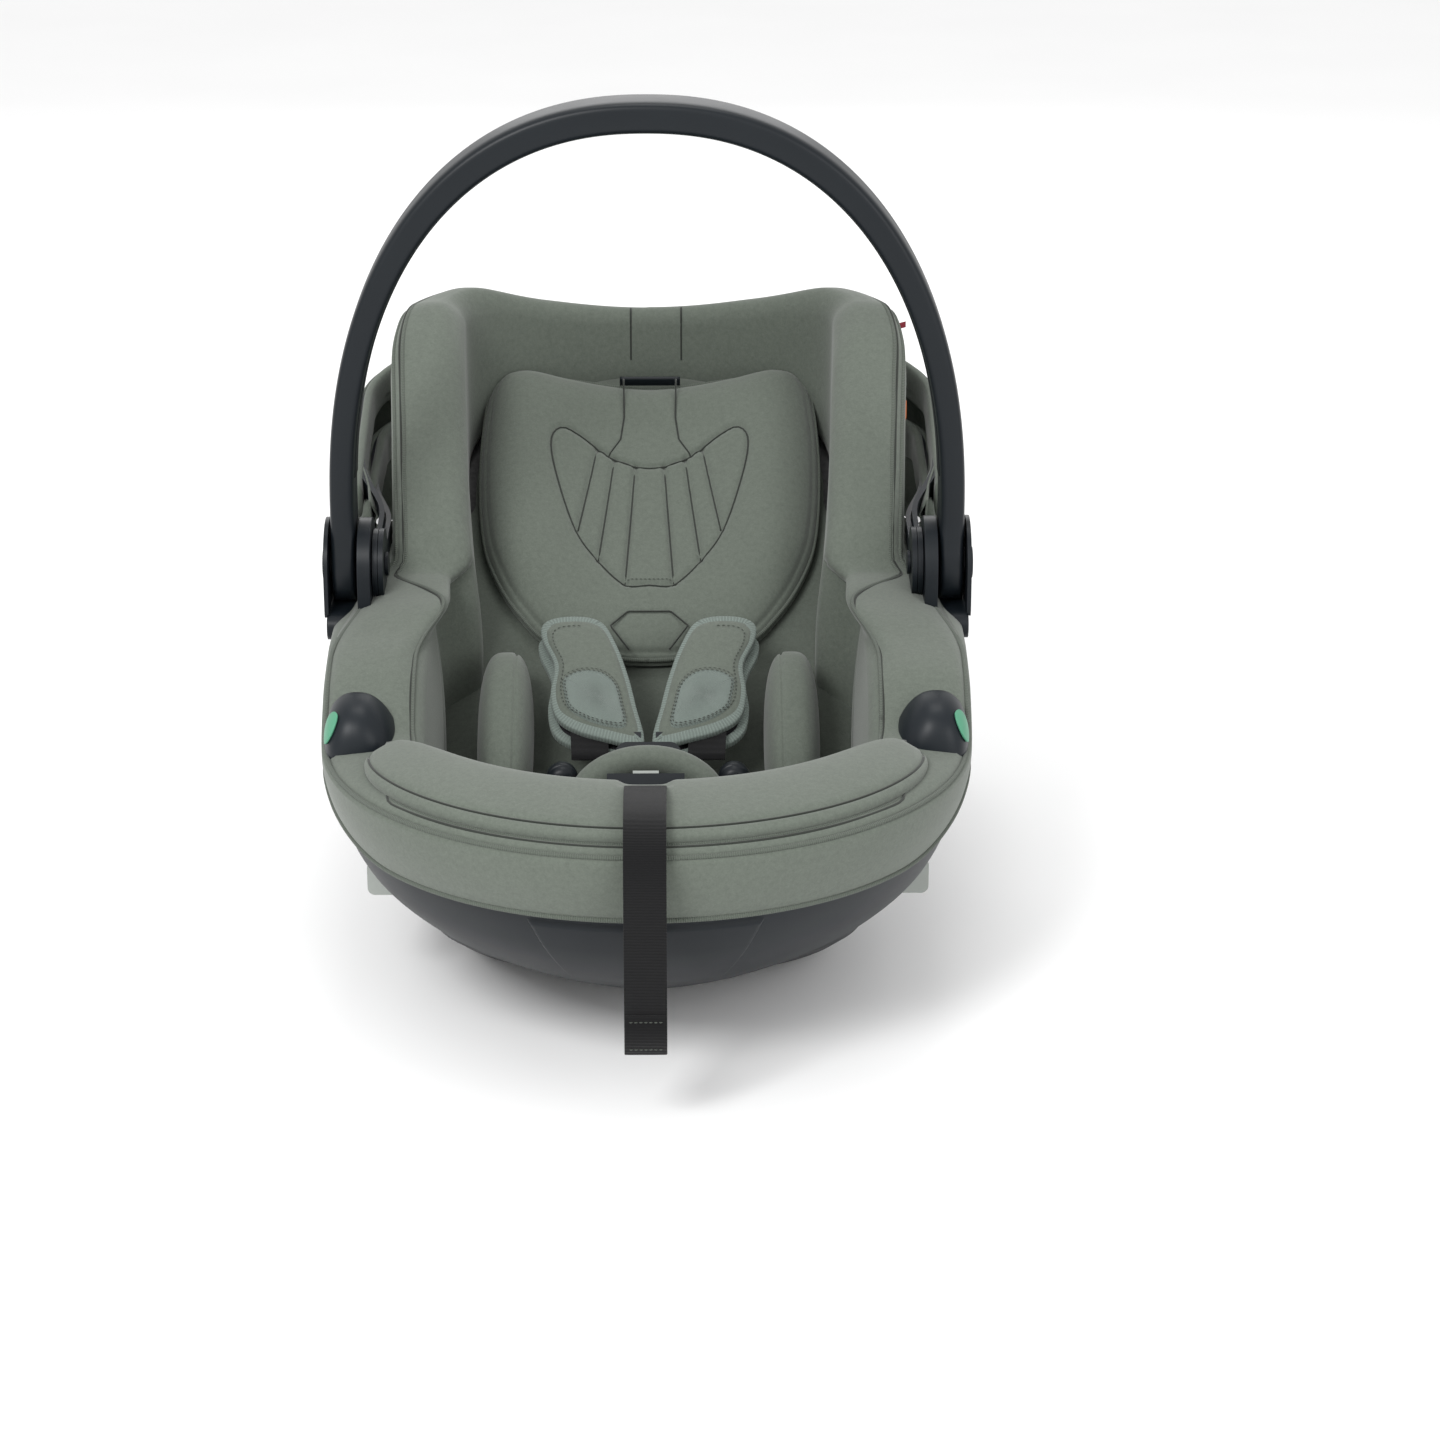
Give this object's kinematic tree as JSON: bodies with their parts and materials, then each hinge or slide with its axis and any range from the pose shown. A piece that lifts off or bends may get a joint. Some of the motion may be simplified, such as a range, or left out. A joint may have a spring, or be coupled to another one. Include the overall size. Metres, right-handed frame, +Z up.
{
  "type": "infant car seat",
  "caption": "Rear-facing infant carrier seat with arched carrying handle, folding canopy, padded insert, harness and adjustable headrest.",
  "frame": {"origin": "centre of the flat rest area under the rocker base", "axes": "+Z up, +Y towards the head end, -Y towards the foot end, X across; the seat is symmetric about X = 0"},
  "size_m": [0.45, 0.6966, 0.566],
  "materials": {
    "seat_fabric": "matte",
    "pad_fabric": "matte",
    "webbing": "satin",
    "liner_foam": "matte",
    "shell_plastic": "satin",
    "handle_plastic": "satin",
    "guide_plastic": "satin",
    "marker_green": "satin",
    "lever_grey": "satin",
    "button_red": "satin",
    "rubber": "matte",
    "steel": "satin",
    "rivet_metal": "polished"
  },
  "bodies": {
    "seat": {"seat_shell": "shell_plastic", "rocker_base": "shell_plastic", "rubber_feet": "rubber", "base_screws": "steel", "latch_bar_front": "steel", "latch_bar_rear": "steel", "front_panel": "shell_plastic", "eps_liner": "liner_foam", "seat_pad": "seat_fabric", "outer_cover": "seat_fabric", "lip_cushion": "seat_fabric", "hub_housing_left": "shell_plastic", "hub_housing_right": "shell_plastic", "pivot_pin_left": "steel", "pivot_pin_right": "steel", "canopy_pin_left": "steel", "canopy_pin_right": "steel", "canopy_fabric": "seat_fabric", "belt_guide_left": "guide_plastic", "belt_guide_right": "guide_plastic", "belt_marker_left": "marker_green", "belt_marker_right": "marker_green", "side_bolster_left": "seat_fabric", "side_bolster_right": "seat_fabric", "shoulder_pad_left": "pad_fabric", "shoulder_pad_right": "pad_fabric", "shoulder_strap_left": "webbing", "shoulder_strap_right": "webbing", "buckle_housing": "shell_plastic", "buckle_tongue_left": "steel", "buckle_tongue_right": "steel", "crotch_strap": "webbing", "crotch_pad": "seat_fabric", "belt_holder_left": "shell_plastic", "belt_holder_right": "shell_plastic", "harness_adjuster": "shell_plastic", "adjuster_strap": "webbing"},
    "handle": {"handle_bow": "handle_plastic", "handle_inner_trim": "handle_plastic"},
    "handle_button_left": {"handle_button_left": "handle_plastic"},
    "handle_button_right": {"handle_button_right": "handle_plastic"},
    "canopy_mid_bow": {"canopy_mid_bow": "shell_plastic"},
    "canopy_front_bow": {"canopy_front_bow": "shell_plastic", "canopy_rivets": "rivet_metal"},
    "headrest": {"headrest_plate": "shell_plastic", "headrest_cushion": "seat_fabric"},
    "headrest_lever": {"headrest_lever": "shell_plastic"},
    "buckle_button": {"buckle_button": "button_red"},
    "adjuster_button": {"adjuster_button": "shell_plastic"},
    "release_lever_left": {"release_lever_left": "lever_grey"},
    "release_lever_right": {"release_lever_right": "lever_grey"}
  },
  "joints": [
    {"name": "handle_hinge", "type": "hinge", "parent": "seat", "child": "handle", "pos_m": [0, 0.01, 0.25], "axis": [1, 0, 0], "range_deg": [-45, 75]},
    {"name": "handle_button_left_slide", "type": "slide", "parent": "seat", "child": "handle_button_left", "axis": [1, 0, 0], "range_m": [0, 0.003], "stiffness_N_per_m": 800},
    {"name": "handle_button_right_slide", "type": "slide", "parent": "seat", "child": "handle_button_right", "axis": [-1, 0, 0], "range_m": [0, 0.003], "stiffness_N_per_m": 800},
    {"name": "canopy_mid_hinge", "type": "hinge", "parent": "seat", "child": "canopy_mid_bow", "pos_m": [0, 0.01, 0.25], "axis": [1, 0, 0], "range_deg": [0, 28]},
    {"name": "canopy_front_hinge", "type": "hinge", "parent": "canopy_mid_bow", "child": "canopy_front_bow", "pos_m": [0, 0.01, 0.25], "axis": [1, 0, 0], "range_deg": [0, 28]},
    {"name": "headrest_slide", "type": "slide", "parent": "seat", "child": "headrest", "axis": [0, 0.8202, 0.5721], "range_m": [-0.016, 0.008]},
    {"name": "headrest_lever_slide", "type": "slide", "parent": "headrest", "child": "headrest_lever", "axis": [0, 0.8202, 0.5721], "range_m": [0, 0.003], "stiffness_N_per_m": 600},
    {"name": "buckle_button_press", "type": "slide", "parent": "seat", "child": "buckle_button", "axis": [0, 0.8829, -0.4695], "range_m": [0, 0.0022], "stiffness_N_per_m": 900},
    {"name": "adjuster_button_press", "type": "slide", "parent": "seat", "child": "adjuster_button", "axis": [0, -0.4067, -0.9135], "range_m": [0, 0.003], "stiffness_N_per_m": 700},
    {"name": "release_lever_left_slide", "type": "slide", "parent": "seat", "child": "release_lever_left", "axis": [-1, 0, 0], "range_m": [0, 0.006], "stiffness_N_per_m": 500},
    {"name": "release_lever_right_slide", "type": "slide", "parent": "seat", "child": "release_lever_right", "axis": [1, 0, 0], "range_m": [0, 0.006], "stiffness_N_per_m": 500}
  ],
  "couplings": [
    {"joint": "canopy_front_hinge", "follows": "canopy_mid_hinge", "ratio": 1}
  ]
}
